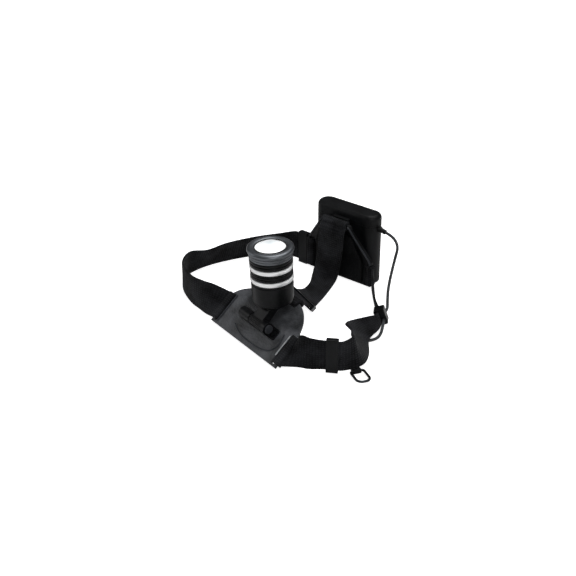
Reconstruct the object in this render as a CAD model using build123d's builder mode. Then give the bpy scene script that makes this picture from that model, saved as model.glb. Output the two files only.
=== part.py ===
from build123d import *
import math
import os

# A headband torch: a zoom lamp on a forehead plate, a battery case behind the head, and the
# elastic bands and the lead that join them. Millimetres. The origin is the centre of the battery
# case's foot, on the surface that the set rests on. +X is the wearer's left, +Y points away from
# the lamp, +Z is up. The forehead plate and the lamp use a frame of their own: right, towards the
# head, up.

# ---- Driving dimensions: battery case ----
case_width = 62.0
case_depth = 18.4
case_height = 62.0
case_wall = 1.6
case_corner = 9.0
lid_height = 9.5
lid_gap = 0.6
lid_hinge_rise = 2.6
cell_radius = 7.0
cell_length = 50.0
cell_count = 4
cell_pitch = 14.1
hinge_wire = 1.0
wire_fit = 0.08
latch_width = 16.0
latch_height = 13.0
latch_depth = 2.4

# ---- Driving dimensions: rear bracket ----
bracket_width = 65.0
bracket_wall = 2.4
bracket_knee = 24.0
bracket_height = 55.0
bracket_top_width = 33.0
bracket_tilt = 17.0
pad_depth = 3.0

# ---- Driving dimensions: bands ----
band_width = 25.0
band_thickness = 1.8
band_gap = 0.3
slot_width = 3.6
slot_play = 1.2
bar_width = 2.8
rear_gather = 17.0

# ---- Driving dimensions: forehead plate ----
brow_turn = 14.7
brow_x = 12.0
brow_y = -150.0
plate_width = 88.0
plate_wall = 2.2
edge_height = 1.8
lower_lean = 50.0
upper_lean = 78.0
lower_run = 26.0
bend_radius = 22.0
upper_run = 19.0
dome_reach = 47.5
dome_shoulder = 20.0
dome_bar = 3.5
forehead_pad_depth = 4.0

# ---- Driving dimensions: tilt hinge ----
hinge_along = 20.0
hinge_lift = 6.0
base_depth = 1.0
knuckle_radius = 4.7
knuckle_left = 13.0
knuckle_right = 5.0
arm_width = 12.0
arm_depth = 2.2
pin_fit = 0.08
barrel_radius = 4.5
barrel_width = 15.0
hinge_start = -14.0
side_gap = 0.3
pin_radius = 1.5

# ---- Driving dimensions: lamp ----
lamp_x = 2.0
lamp_y = 28.5
lamp_z = 31.0
lamp_tilt = 3.0
body_radius = 16.2
ring_radius = 16.6
bezel_radius = 18.1
bore_radius = 13.3
barrel_fit = 0.1
barrel_wall = 1.2
seat_gap = 0.1
cap_height = 4.0
ring_height = 3.6
lower_ring_at = 19.5
collar_height = 5.9
zoom_gap = 0.3
zoom_travel = 6.0
sleeve_height = 14.0
lens_radius = 14.4
dome_radius = 11.0
dome_height = 4.4
button_radius = 3.9
button_depth = 3.1
button_travel = 0.8
button_at = 11.0

# ---- Driving dimensions: lead and lanyard ring ----
lead_radius = 1.2
grommet_inset = 9.0
ring_wire = 1.0
ring_width = 12.5
ring_length = 17.0
ring_corner = 2.2
ring_bow = 4.4

os.makedirs("parts", exist_ok=True)


def save(part, name):
    """Label a finished part and write it."""
    part.label = name
    export_step(part, f"parts/{name}.step")


def sine(degrees):
    return math.sin(math.radians(degrees))


def cosine(degrees):
    return math.cos(math.radians(degrees))


# ---------------------------------------------------------------- battery case
half_depth = case_depth / 2
seam = case_height - lid_height
inner_width = case_width - 2 * case_wall
inner_depth = case_depth - 2 * case_wall
inner_corner = case_corner - case_wall
pin_reach = hinge_wire + 1.6
lid_hinge_y = half_depth + pin_reach
lid_hinge_z = seam + lid_hinge_rise
lid_ear_width = 22.0
ear_width = 5.0
ear_radius = hinge_wire + 1.3
latch_y = -half_depth - pin_reach
latch_z = seam - latch_height + 3.0
screw_radius = 1.1
screw_places = [(x, z) for x in (-16, 16) for z in (8, 18)]


def ear(start, width, centre, root, hole):
    """A hinge ear along X: an eye at `centre` joined to a wall at `root`, both (y, z)."""
    with BuildSketch(Plane(origin=(start, 0, 0), x_dir=(0, 1, 0), z_dir=(1, 0, 0))) as eye:
        with Locations(centre):
            Circle(ear_radius)
        with Locations(root):
            Rectangle(0.8, 4)
        make_hull()
        with Locations(centre):
            Circle(hole, mode=Mode.SUBTRACT)
    extrude(eye.sketch, amount=width)


with BuildPart() as battery_case:
    with BuildSketch(Plane.XY):
        RectangleRounded(case_width, case_depth, case_corner)
    extrude(amount=seam)
    fillet(battery_case.faces().sort_by(Axis.Z)[0].edges(), radius=1.2)
    lid_root = (half_depth + 0.1, seam - 4.9)
    ear(-lid_ear_width / 2 - side_gap - ear_width, ear_width, (lid_hinge_y, lid_hinge_z), lid_root, hinge_wire)
    ear(lid_ear_width / 2 + side_gap, ear_width, (lid_hinge_y, lid_hinge_z), lid_root, hinge_wire)
    latch_root = (-half_depth + 0.4, latch_z)
    ear(-latch_width / 2 - side_gap - 3, 3, (latch_y, latch_z), latch_root, hinge_wire)
    ear(latch_width / 2 + side_gap, 3, (latch_y, latch_z), latch_root, hinge_wire)
    with BuildSketch(Plane.XY.offset(case_wall)):
        RectangleRounded(inner_width, inner_depth, inner_corner)
    extrude(amount=seam, mode=Mode.SUBTRACT)
    with BuildSketch(Plane(origin=(0, half_depth, seam / 2 - 4), x_dir=(1, 0, 0), z_dir=(0, 1, 0))):
        with GridLocations(0, 6, 1, 4):
            SlotOverall(30, 1.6)
    extrude(amount=-0.6, mode=Mode.SUBTRACT)
    with BuildSketch(Plane.XZ.offset(half_depth)):
        with Locations(*screw_places):
            Circle(screw_radius + 0.05)
    extrude(amount=-case_wall, mode=Mode.SUBTRACT)
save(battery_case.part, "battery_case")

with BuildPart() as battery_lid:
    with BuildSketch(Plane.XY.offset(seam + lid_gap)):
        RectangleRounded(case_width, case_depth, case_corner)
    extrude(amount=lid_height - lid_gap)
    fillet(battery_lid.faces().sort_by(Axis.Z)[-1].edges(), radius=4.0)
    ear(-lid_ear_width / 2, lid_ear_width, (lid_hinge_y, lid_hinge_z),
        (half_depth - 0.4, seam + 4.5), hinge_wire + wire_fit)
    with BuildSketch(Plane.XY.offset(seam)):
        RectangleRounded(inner_width, inner_depth, inner_corner)
    extrude(amount=lid_height - case_wall, mode=Mode.SUBTRACT)
save(battery_lid.part, "battery_lid")


def wire_pin(half_length, y, z):
    """A plain hinge wire along X."""
    with BuildSketch(Plane(origin=(-half_length, 0, 0), x_dir=(0, 1, 0), z_dir=(1, 0, 0))) as section:
        with Locations((y, z)):
            Circle(hinge_wire)
    extrude(section.sketch, amount=2 * half_length)


with BuildPart() as lid_hinge_pin:
    wire_pin(lid_ear_width / 2 + side_gap + ear_width, lid_hinge_y, lid_hinge_z)
save(lid_hinge_pin.part, "lid_hinge_pin")

with BuildPart() as latch_pin:
    wire_pin(latch_width / 2 + side_gap + 3, latch_y, latch_z)
save(latch_pin.part, "latch_pin")

latch_front = -half_depth - side_gap - latch_depth
with BuildPart() as lid_latch:
    with BuildSketch(Plane(origin=(-latch_width / 2, 0, 0), x_dir=(0, 1, 0), z_dir=(1, 0, 0))):
        with Locations((latch_y, latch_z)):
            Circle(ear_radius)
        with BuildLine():
            Polyline((latch_front + latch_depth, latch_z), (latch_front + latch_depth, latch_z + latch_height),
                     (latch_front - 1.2, latch_z + latch_height), (latch_front, latch_z + latch_height - 2.5),
                     (latch_front, latch_z), close=True)
        make_face()
        with Locations((latch_y, latch_z)):
            Circle(hinge_wire + wire_fit, mode=Mode.SUBTRACT)
    extrude(amount=latch_width)
save(lid_latch.part, "lid_latch")

contact_depth = 0.4
cell_top = case_height - case_wall - contact_depth - 0.1
cell_floor = cell_top - cell_length
cell_places = [(cell_pitch * (index - (cell_count - 1) / 2)) for index in range(cell_count)]
for index, place in enumerate(cell_places):
    direction = 1 if index % 2 == 0 else -1
    low = cell_floor if direction > 0 else cell_floor + cell_length
    with BuildPart() as cell:
        with BuildSketch(Plane(origin=(place, 0, low), z_dir=(0, 0, direction))):
            Circle(cell_radius)
        extrude(amount=cell_length - 1.2)
        fillet(cell.edges().filter_by(GeomType.CIRCLE), radius=0.6)
        with BuildSketch(Plane(origin=(place, 0, low + direction * (cell_length - 1.2)), z_dir=(0, 0, direction))):
            Circle(2.7)
        extrude(amount=1.2)
    save(cell.part, f"cell_{index + 1}")

with BuildPart() as contact_springs:
    for place in cell_places:
        with BuildSketch(Plane.XY.offset(case_wall + contact_depth)):
            with Locations((place, 0)):
                Circle(3.2)
                Circle(2.6, mode=Mode.SUBTRACT)
        extrude(amount=cell_floor - case_wall - contact_depth)
save(contact_springs.part, "contact_springs")

for name, height in (("contact_plates", case_wall), ("lid_contacts", case_height - case_wall - contact_depth)):
    with BuildPart() as contacts:
        with BuildSketch(Plane.XY.offset(height)):
            with GridLocations(2 * cell_pitch, 1, 2, 1):
                Rectangle(1.8 * cell_pitch, cell_radius)
        extrude(amount=contact_depth)
    save(contacts.part, name)

with BuildPart() as lid_seal:
    with BuildSketch(Plane.XY.offset(seam)):
        RectangleRounded(case_width - 0.6, case_depth - 0.6, case_corner - 0.3)
        RectangleRounded(inner_width, inner_depth, inner_corner, mode=Mode.SUBTRACT)
    extrude(amount=lid_gap - 0.1)
save(lid_seal.part, "lid_seal")

boot_z = seam - 3.0
boot_length = 5.6
boot_lean = 10.0
boot_root = 2.7
with BuildPart() as lead_boot:
    with BuildSketch(Plane(origin=(case_width / 2, 0, boot_z), x_dir=(0, 1, 0), z_dir=(1, 0, 0))):
        Circle(boot_root)
    extrude(amount=1.6)
    boot_plane = Plane(origin=(case_width / 2 + 1, 0, boot_z), x_dir=(0, 1, 0),
                       z_dir=(cosine(boot_lean), 0, -sine(boot_lean)))
    with BuildSketch(boot_plane):
        Circle(boot_root - 0.5)
    extrude(amount=boot_length, taper=3)
save(lead_boot.part, "lead_boot")

# ---------------------------------------------------------------- rear bracket and pad
bracket_rise = (bracket_height - bracket_knee) / cosine(bracket_tilt)
band_foot = 2.5
slot_foot = band_foot - slot_play / 2
side_bar_x = bracket_width / 2 - bar_width / 2
side_slot_x = bracket_width / 2 - bar_width - slot_width / 2


def bracket_line(depth, rise):
    """Foot, knee and top of the line that runs `depth` in front of the bracket's back."""
    face = -half_depth - depth
    knee = (face, bracket_knee - depth * math.tan(math.radians(bracket_tilt / 2)))
    top = (-half_depth - depth * cosine(bracket_tilt) - rise * sine(bracket_tilt),
           bracket_knee + rise * cosine(bracket_tilt) - depth * sine(bracket_tilt))
    return face, knee, top


def bracket_sheet(depth, thickness, half_width, foot, rise):
    """A sheet that follows the bracket, standing on `foot`."""
    back, back_knee, back_top = bracket_line(depth, rise)
    front, front_knee, front_top = bracket_line(depth + thickness, rise)
    with BuildSketch(Plane(origin=(-half_width, 0, 0), x_dir=(0, 1, 0), z_dir=(1, 0, 0))) as side:
        with BuildLine():
            Polyline((back, foot), back_knee, back_top, front_top, front_knee, (front, foot), close=True)
        make_face()
    extrude(side.sketch, amount=2 * half_width)


def bracket_plane(rise, depth):
    """A plane on the tilted half of the bracket, facing the head."""
    _, _, point = bracket_line(depth, rise)
    return Plane(origin=(0, point[0], point[1]), x_dir=(1, 0, 0),
                 z_dir=(0, -cosine(bracket_tilt), -sine(bracket_tilt)))


left_side = band_width + 2 * slot_play + 3
right_side = rear_gather + 2 * slot_play + 3
top_half = bracket_top_width / 2
with BuildPart() as rear_bracket:
    bracket_sheet(0, bracket_wall, bracket_width / 2, 0.4, bracket_rise)
    with BuildSketch(Plane.XZ.offset(-half_depth)) as outline:
        with BuildLine():
            Polyline((-bracket_width / 2, 0), (bracket_width / 2, 0), (bracket_width / 2, right_side),
                     (top_half, bracket_height - 4), (top_half, bracket_height), (-top_half, bracket_height),
                     (-top_half, bracket_height - 4), (-bracket_width / 2, left_side), close=True)
        make_face()
        fillet(outline.vertices(), radius=1.5)
    extrude(amount=3 * case_depth, both=True, mode=Mode.INTERSECT)
    with BuildSketch(Plane.XZ.offset(half_depth)):
        with Locations((-side_slot_x, slot_foot + (band_width + slot_play) / 2)):
            Rectangle(slot_width, band_width + slot_play)
        with Locations((side_slot_x, slot_foot + (rear_gather + slot_play) / 2)):
            Rectangle(slot_width, rear_gather + slot_play)
        with Locations(*screw_places):
            Circle(screw_radius + 0.05)
    extrude(amount=3 * bracket_wall, mode=Mode.SUBTRACT)
    with BuildSketch(bracket_plane(bracket_rise - bar_width - slot_width / 2, 0)):
        Rectangle(band_width + slot_play, slot_width)
    extrude(amount=3 * bracket_wall, both=True, mode=Mode.SUBTRACT)
save(rear_bracket.part, "rear_bracket")

pad_rise = bracket_rise - bar_width - slot_width - 2.5
pad_half = side_slot_x - slot_width / 2 - 1.2
with BuildPart() as rear_pad:
    bracket_sheet(bracket_wall, pad_depth, pad_half, 2, pad_rise)
    with BuildSketch(Plane.XZ.offset(-half_depth)) as outline:
        with BuildLine():
            Polyline((-pad_half, 0), (pad_half, 0), (pad_half, right_side - 2), (top_half, bracket_height - 8),
                     (top_half, bracket_height), (-top_half, bracket_height), (-top_half, bracket_height - 8),
                     (-pad_half, left_side - 2), close=True)
        make_face()
    extrude(amount=3 * case_depth, both=True, mode=Mode.INTERSECT)
save(rear_pad.part, "rear_pad")

with BuildPart() as bracket_screws:
    with BuildSketch(Plane.XZ.offset(half_depth - case_wall)):
        with Locations(*screw_places):
            Circle(screw_radius)
    extrude(amount=bracket_wall + case_wall)
save(bracket_screws.part, "bracket_screws")

# ---------------------------------------------------------------- sizes that follow from others
barrel_start = hinge_start + knuckle_left + side_gap
right_start = barrel_start + barrel_width + side_gap
hinge_end = right_start + knuckle_right
arm_centre = barrel_start + barrel_width / 2
base_width = hinge_end - hinge_start + 12
base_centre = (hinge_end + hinge_start) / 2
base_screw_places = [(base_centre + side * (base_width / 2 - 3), 0) for side in (-1, 1)]
neck_radius = body_radius - 0.6
collar_at = lower_ring_at + ring_height + 0.2
zoom_at = collar_at + collar_height + zoom_gap
dome_sphere = (dome_radius ** 2 + dome_height ** 2) / (2 * dome_height)

# ---------------------------------------------------------------- forehead frame
lean_step = upper_lean - lower_lean
bend_run = bend_radius * math.radians(lean_step)


def forehead_vector(right, inward, up):
    """A direction in forehead axes, turned into the part's axes."""
    return Vector(right * cosine(brow_turn) + inward * sine(brow_turn),
                  inward * cosine(brow_turn) - right * sine(brow_turn), up)


def forehead_point(right, inward, up):
    return Vector(brow_x, brow_y, 0) + forehead_vector(right, inward, up)


def forehead_plane(point, x_dir, z_dir):
    return Plane(origin=forehead_point(*point), x_dir=forehead_vector(*x_dir), z_dir=forehead_vector(*z_dir))


def side_plane(right):
    """A plane across the forehead frame: its x runs towards the head and its y runs up."""
    return forehead_plane((right, 0, 0), (0, 1, 0), (1, 0, 0))


def brow_point(along, lift):
    """(inward, up) of a point `along` the plate's flat lower zone and `lift` in front of its face."""
    return (along * sine(lower_lean) - lift * cosine(lower_lean),
            edge_height + along * cosine(lower_lean) + lift * sine(lower_lean))


def brow_plane(along, lift):
    """A plane on the lower zone, facing outwards."""
    inward, up = brow_point(along, lift)
    return forehead_plane((0, inward, up), (1, 0, 0), (0, -cosine(lower_lean), sine(lower_lean)))


def brow_line(start, end, behind):
    """The brow curve `behind` the plate's face; returns its two ends."""
    straight = PolarLine(brow_point(start, -behind), lower_run - start, 90 - lower_lean)
    bend = JernArc(straight @ 1, straight % 1, bend_radius - behind, -lean_step)
    crown = PolarLine(bend @ 1, end - lower_run - bend_run, 90 - upper_lean)
    return straight @ 0, crown @ 1


def brow_sheet(depth, thickness, start, end, half_width):
    """A sheet that follows the brow curve."""
    with BuildSketch(side_plane(-half_width)) as side:
        with BuildLine():
            face_start, face_end = brow_line(start, end, depth)
            back_start, back_end = brow_line(start, end, depth + thickness)
            Line(face_start, back_start)
            Line(face_end, back_end)
        make_face()
    extrude(side.sketch, amount=2 * half_width)


def dome_outline(half_width, reach):
    """Keep what lies inside a dome-shaped outline, seen from above."""
    with BuildSketch(forehead_plane((0, 0, -20), (1, 0, 0), (0, 0, 1))) as outline:
        with BuildLine():
            Polyline((half_width, dome_shoulder), (half_width, -20), (-half_width, -20), (-half_width, dome_shoulder))
            ThreePointArc((half_width, dome_shoulder), (0, reach), (-half_width, dome_shoulder))
        make_face()
    extrude(outline.sketch, amount=100, mode=Mode.INTERSECT)


# ---------------------------------------------------------------- forehead plate and pad
plate_half = plate_width / 2
brow_run = lower_run + bend_run + upper_run
plate_bar_x = plate_half - bar_width / 2
plate_slot_x = plate_half - bar_width - slot_width / 2
plate_slot_foot = 2.0
plate_band_mid = plate_slot_foot + (band_width + slot_play) / 2
dome_bar_y = dome_reach - dome_bar / 2
dome_slot_y = dome_reach - dome_bar - slot_width / 2
bend_start = brow_point(lower_run, 0)
bend_end = (bend_start[0] + bend_radius * (sine(90 - lower_lean) - sine(90 - upper_lean)),
            bend_start[1] + bend_radius * (cosine(90 - upper_lean) - cosine(90 - lower_lean)))


def crown_point(inward, behind):
    """(inward, up) of a point `behind` the face of the plate's upper zone."""
    up = bend_end[1] + (inward - bend_end[0]) / math.tan(math.radians(upper_lean))
    return inward + behind * cosine(upper_lean), up - behind * sine(upper_lean)


hinge_y, hinge_z = brow_point(hinge_along, hinge_lift)
with BuildPart() as front_plate:
    brow_sheet(0, plate_wall, 0, brow_run, plate_half)
    dome_outline(plate_half, dome_reach)
    with BuildSketch(brow_plane(plate_band_mid, 0)):
        with Locations((-plate_slot_x, 0), (plate_slot_x, 0)):
            RectangleRounded(slot_width, band_width + slot_play, 0.8)
    extrude(amount=3 * plate_wall, both=True, mode=Mode.SUBTRACT)
    with BuildSketch(forehead_plane((0, dome_slot_y, 0), (1, 0, 0), (0, 0, 1))):
        RectangleRounded(band_width + slot_play, slot_width, 0.8)
    extrude(amount=60, mode=Mode.SUBTRACT)
    with BuildSketch(brow_plane(hinge_along, 0)):
        with Locations(*base_screw_places):
            Circle(screw_radius + 0.05)
    extrude(amount=-plate_wall, mode=Mode.SUBTRACT)
save(front_plate.part, "front_plate")

pad_half_width = plate_slot_x - slot_width / 2 - 5.5
with BuildPart() as forehead_pad:
    brow_sheet(plate_wall, forehead_pad_depth, 9, brow_run, pad_half_width)
    dome_outline(pad_half_width, dome_slot_y - slot_width / 2 - 1)
save(forehead_pad.part, "forehead_pad")


def knuckle(start, width):
    """A fixed hinge knuckle on the base plate."""
    with BuildSketch(side_plane(start)) as eye:
        with Locations((hinge_y, hinge_z)):
            Circle(knuckle_radius)
        with Locations(brow_point(hinge_along, base_depth / 2)):
            Rectangle(2 * knuckle_radius, base_depth, rotation=90 - lower_lean)
        make_hull()
        with Locations((hinge_y, hinge_z)):
            Circle(pin_radius + 0.05, mode=Mode.SUBTRACT)
    extrude(eye.sketch, amount=width)


with BuildPart() as hinge_base:
    with BuildSketch(brow_plane(hinge_along, 0)):
        with Locations((base_centre, 0)):
            RectangleRounded(base_width, 2 * knuckle_radius, 2)
        with Locations(*base_screw_places):
            Circle(screw_radius + 0.05, mode=Mode.SUBTRACT)
    extrude(amount=base_depth)
    knuckle(hinge_start, knuckle_left)
    knuckle(right_start, knuckle_right)
save(hinge_base.part, "hinge_base")

with BuildPart() as base_screws:
    with BuildSketch(brow_plane(hinge_along, -plate_wall)):
        with Locations(*base_screw_places):
            Circle(screw_radius)
    extrude(amount=base_depth + plate_wall)
    with BuildSketch(brow_plane(hinge_along, base_depth)):
        with Locations(*base_screw_places):
            Circle(2)
    extrude(amount=1.1)
save(base_screws.part, "base_screws")

pin_head = 1.6
with BuildPart() as hinge_pin:
    with BuildSketch(side_plane(hinge_start)) as pin:
        with Locations((hinge_y, hinge_z)):
            Circle(pin_radius)
    extrude(pin.sketch, amount=hinge_end - hinge_start)
    for start in (hinge_start - pin_head, hinge_end):
        with BuildSketch(side_plane(start)) as head:
            with Locations((hinge_y, hinge_z)):
                Circle(3.4)
        extrude(head.sketch, amount=pin_head)
save(hinge_pin.part, "hinge_pin")

# ---------------------------------------------------------------- lamp
lamp_up = (0, -sine(lamp_tilt), cosine(lamp_tilt))
lamp_in = (0, cosine(lamp_tilt), sine(lamp_tilt))
lamp_out = (0, -cosine(lamp_tilt), -sine(lamp_tilt))
lamp_axis = Axis(forehead_point(lamp_x, lamp_y, lamp_z), forehead_vector(*lamp_up))


def lamp_point(inward, height):
    """A point of the lamp in forehead axes."""
    return (lamp_x, lamp_y + inward * lamp_in[1] + height * lamp_up[1],
            lamp_z + inward * lamp_in[2] + height * lamp_up[2])


def lamp_plane(height):
    """A plane across the lamp, `height` above its foot."""
    return forehead_plane(lamp_point(0, height), (1, 0, 0), lamp_up)


def turn(*outline):
    """Revolve an outline of (radius, height) points about the lamp's axis."""
    with BuildSketch(forehead_plane(lamp_point(0, 0), (1, 0, 0), lamp_out)) as section:
        with BuildLine():
            Polyline(*outline, close=True)
        make_face()
    revolve(section.sketch, axis=lamp_axis)


def tube(inner, outer, low, high):
    turn((inner, low), (outer, low), (outer, high), (inner, high))


arm_screw_places = [(arm_centre - lamp_x - 3, 5), (arm_centre - lamp_x + 3, 5)]
with BuildPart() as tilt_arm:
    with BuildSketch(side_plane(barrel_start)) as barrel:
        with Locations((hinge_y, hinge_z)):
            Circle(barrel_radius)
            with PolarLocations(barrel_radius + 0.2, 18):
                Circle(0.55, mode=Mode.SUBTRACT)
            Circle(pin_radius + pin_fit, mode=Mode.SUBTRACT)
    extrude(barrel.sketch, amount=barrel_width)
    with BuildSketch(side_plane(arm_centre - arm_width / 2)) as web:
        with Locations((hinge_y, hinge_z)):
            Circle(barrel_radius - 0.9)
        with Locations(lamp_point(-6.5, -arm_depth / 2)[1:]):
            Rectangle(7, arm_depth, rotation=lamp_tilt)
        make_hull()
        with Locations((hinge_y, hinge_z)):
            Circle(pin_radius + pin_fit, mode=Mode.SUBTRACT)
    extrude(web.sketch, amount=arm_width)
    with BuildSketch(lamp_plane(-arm_depth)):
        with Locations((arm_centre - lamp_x, -1)):
            RectangleRounded(arm_width, 20, 2)
        with Locations(*arm_screw_places):
            Circle(screw_radius + 0.05, mode=Mode.SUBTRACT)
    extrude(amount=arm_depth)
save(tilt_arm.part, "tilt_arm")

with BuildPart() as arm_screws:
    with BuildSketch(lamp_plane(-arm_depth)):
        with Locations(*arm_screw_places):
            Circle(screw_radius)
    extrude(amount=arm_depth)
    with BuildSketch(lamp_plane(-arm_depth - 1)):
        with Locations(*arm_screw_places):
            Circle(1.9)
    extrude(amount=1)
save(arm_screws.part, "arm_screws")

with BuildPart() as tail_cap:
    turn((0, 0), (neck_radius - 1, 0), (neck_radius, 1), (neck_radius, cap_height - 0.1),
         (bore_radius - seat_gap, cap_height - 0.1), (bore_radius - seat_gap, cap_height + 2.5),
         (0, cap_height + 2.5))
save(tail_cap.part, "tail_cap")

with BuildPart() as lamp_housing:
    turn((bore_radius, cap_height), (body_radius, cap_height), (body_radius, lower_ring_at - 2.4),
         (body_radius - 0.5, lower_ring_at - 2.1), (body_radius - 0.5, lower_ring_at - 1.5),
         (body_radius, lower_ring_at - 1.2), (body_radius, lower_ring_at), (neck_radius - 0.1, lower_ring_at),
         (neck_radius - 0.1, collar_at - seat_gap), (bore_radius, collar_at - seat_gap))
    with BuildSketch(forehead_plane(lamp_point(0, button_at), (1, 0, 0), lamp_in)):
        Circle(button_radius + 0.3)
    extrude(amount=2 * body_radius, mode=Mode.SUBTRACT)
save(lamp_housing.part, "lamp_housing")

with BuildPart() as accent_ring_lower:
    tube(neck_radius, ring_radius, lower_ring_at + 0.1, lower_ring_at + ring_height)
    chamfer(accent_ring_lower.faces().filter_by(GeomType.PLANE).edges().group_by(SortBy.RADIUS)[-1], length=0.4)
save(accent_ring_lower.part, "accent_ring_lower")

with BuildPart() as focus_collar:
    tube(bore_radius, body_radius + 0.1, collar_at, collar_at + collar_height)
save(focus_collar.part, "focus_collar")

with BuildPart() as accent_ring_upper:
    tube(neck_radius, ring_radius, zoom_at, zoom_at + ring_height)
    chamfer(accent_ring_upper.faces().filter_by(GeomType.PLANE).edges().group_by(SortBy.RADIUS)[-1], length=0.4)
save(accent_ring_upper.part, "accent_ring_upper")

sleeve_at = zoom_at + ring_height + 0.1
bezel_at = zoom_at + 8.8
seat_at = zoom_at + sleeve_height - 0.4
with BuildPart() as focus_sleeve:
    turn((bore_radius, zoom_at), (neck_radius - 0.1, zoom_at), (neck_radius - 0.1, sleeve_at),
         (ring_radius, sleeve_at), (ring_radius, bezel_at - 0.1), (lens_radius + 0.2, bezel_at - 0.1),
         (lens_radius + 0.2, seat_at), (bore_radius, seat_at))
save(focus_sleeve.part, "focus_sleeve")

gasket_at = seat_at + 0.05
flange_at = gasket_at + 1.45
lip_at = flange_at + 1.1
with BuildPart() as lens_gasket:
    tube(lens_radius - 2.4, lens_radius, gasket_at, flange_at - 0.05)
save(lens_gasket.part, "lens_gasket")

with BuildPart() as front_lens:
    with BuildSketch(forehead_plane(lamp_point(0, 0), (1, 0, 0), lamp_out)) as section:
        with BuildLine():
            Polyline((0, flange_at + 1 + dome_height), (0, flange_at), (lens_radius, flange_at),
                     (lens_radius, flange_at + 1), (dome_radius, flange_at + 1))
            RadiusArc((dome_radius, flange_at + 1), (0, flange_at + 1 + dome_height), -dome_sphere)
        make_face()
    revolve(section.sketch, axis=lamp_axis)
save(front_lens.part, "front_lens")

with BuildPart() as bezel_ring:
    with BuildSketch(forehead_plane(lamp_point(0, 0), (1, 0, 0), lamp_out)) as section:
        with BuildLine():
            Polyline((dome_radius + 1.3, lip_at + 1.2), (dome_radius + 1.3, lip_at), (lens_radius + 0.3, lip_at),
                     (lens_radius + 0.3, bezel_at), (ring_radius, bezel_at), (bezel_radius, lip_at - 0.6))
            ThreePointArc((bezel_radius, lip_at - 0.6), (lens_radius + 0.6, lip_at + 2.2),
                          (dome_radius + 1.3, lip_at + 1.2))
        make_face()
    revolve(section.sketch, axis=lamp_axis)
save(bezel_ring.part, "bezel_ring")

barrel_out = bore_radius - barrel_fit
barrel_in = barrel_out - barrel_wall
barrel_low = 14.0
barrel_high = zoom_at + 8.6
with BuildPart() as inner_barrel:
    turn((barrel_in, barrel_low), (barrel_out, barrel_low), (barrel_out, barrel_high - 3),
         (barrel_out - 0.6, barrel_high - 3), (barrel_out - 0.6, barrel_high - 1.8),
         (barrel_out, barrel_high - 1.8), (barrel_out, barrel_high), (barrel_in, barrel_high))
save(inner_barrel.part, "inner_barrel")

with BuildPart() as barrel_seal:
    tube(barrel_out - 0.55, barrel_out, barrel_high - 2.9, barrel_high - 1.9)
save(barrel_seal.part, "barrel_seal")

sink_radius = barrel_in - 0.1
sink_top = 30.0
with BuildPart() as heat_sink:
    turn((0, sink_top), (0, sink_top - 2.5), (sink_radius - 1.5, sink_top - 2.5), (sink_radius - 1.5, barrel_low + 2),
         (sink_radius, barrel_low + 2), (sink_radius, sink_top))
save(heat_sink.part, "heat_sink")

with BuildPart() as driver_board:
    tube(0, sink_radius - 1.6, barrel_low + 4.5, barrel_low + 6.1)
save(driver_board.part, "driver_board")

with BuildPart() as led_board:
    tube(0, 8, sink_top, sink_top + 1.6)
save(led_board.part, "led_board")

with BuildPart() as led_emitter:
    with BuildSketch(lamp_plane(sink_top + 1.6)):
        Rectangle(5, 5)
    extrude(amount=0.7)
    with BuildSketch(lamp_plane(sink_top + 2.3)):
        Circle(2.1)
    extrude(amount=1.4, taper=25)
save(led_emitter.part, "led_emitter")

button_end = body_radius + 1.2
with BuildPart() as switch_button:
    with BuildSketch(forehead_plane(lamp_point(button_end - button_depth, button_at), (1, 0, 0), lamp_in)):
        Circle(button_radius)
    extrude(amount=button_depth)
    fillet(switch_button.edges().filter_by(GeomType.CIRCLE), radius=0.6)
save(switch_button.part, "switch_button")

with BuildPart() as switch_module:
    with BuildSketch(forehead_plane(lamp_point(bore_radius - 4.1, button_at), (1, 0, 0), lamp_in)):
        Rectangle(6, 5.6)
    extrude(amount=3.6)
save(switch_module.part, "switch_module")

# ---------------------------------------------------------------- bands
# A station is x, y and z of the band's middle, its width vector's inward lean, and its width.


def blend(stations, straight):
    """Smooth a run of stations: rows of numbers. The intervals named in `straight` stay straight."""
    rows = []
    for index in range(len(stations) - 1):
        before = stations[max(index - 1, 0)]
        here = stations[index]
        there = stations[index + 1]
        after = stations[min(index + 2, len(stations) - 1)]
        if index in straight:
            rows += [tuple(b + (c - b) * t for b, c in zip(here, there)) for t in (0, 0.12, 0.88)]
            continue
        for t in (0, 1 / 3, 2 / 3):
            rows.append(tuple(0.5 * (2 * b + (c - a) * t + (2 * a - 5 * b + 4 * c - d) * t * t
                                     + (3 * b - a - 3 * c + d) * t * t * t)
                              for a, b, c, d in zip(before, here, there, after)))
    rows.append(tuple(stations[-1]))
    return rows


def ribbon(rows):
    """Loft a band through rows of a middle point and a width vector."""
    last = len(rows) - 1
    sections = []
    for index, row in enumerate(rows):
        across = Vector(*row[3:6])
        ahead = Vector(*rows[min(index + 1, last)][:3]) - Vector(*rows[max(index - 1, 0)][:3])
        rise = across.normalized()
        with BuildSketch(Plane(origin=row[:3], x_dir=rise, z_dir=ahead - rise * ahead.dot(rise))) as section:
            Rectangle(across.length, band_thickness)
        sections.append(section.sketch)
    loft(sections, ruled=True)


def leaning(stations, straight):
    """Turn rows of x, y, foot height, inward lean and width into middles and width vectors."""
    last = len(stations) - 1
    rows = []
    for index, (x, y, foot, lean, width) in enumerate(stations):
        first = index if index in straight else max(index - 1, 0)
        second = index if index - 1 in straight else min(index + 1, last)
        ahead = (Vector(*stations[second][:2], 0) - Vector(*stations[first][:2], 0)).normalized()
        rise = Vector(ahead.Y * sine(lean), -ahead.X * sine(lean), cosine(lean)) * width
        rows.append((x, y, foot + rise.Z / 2, rise.X, rise.Y, rise.Z))
    return rows


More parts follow.
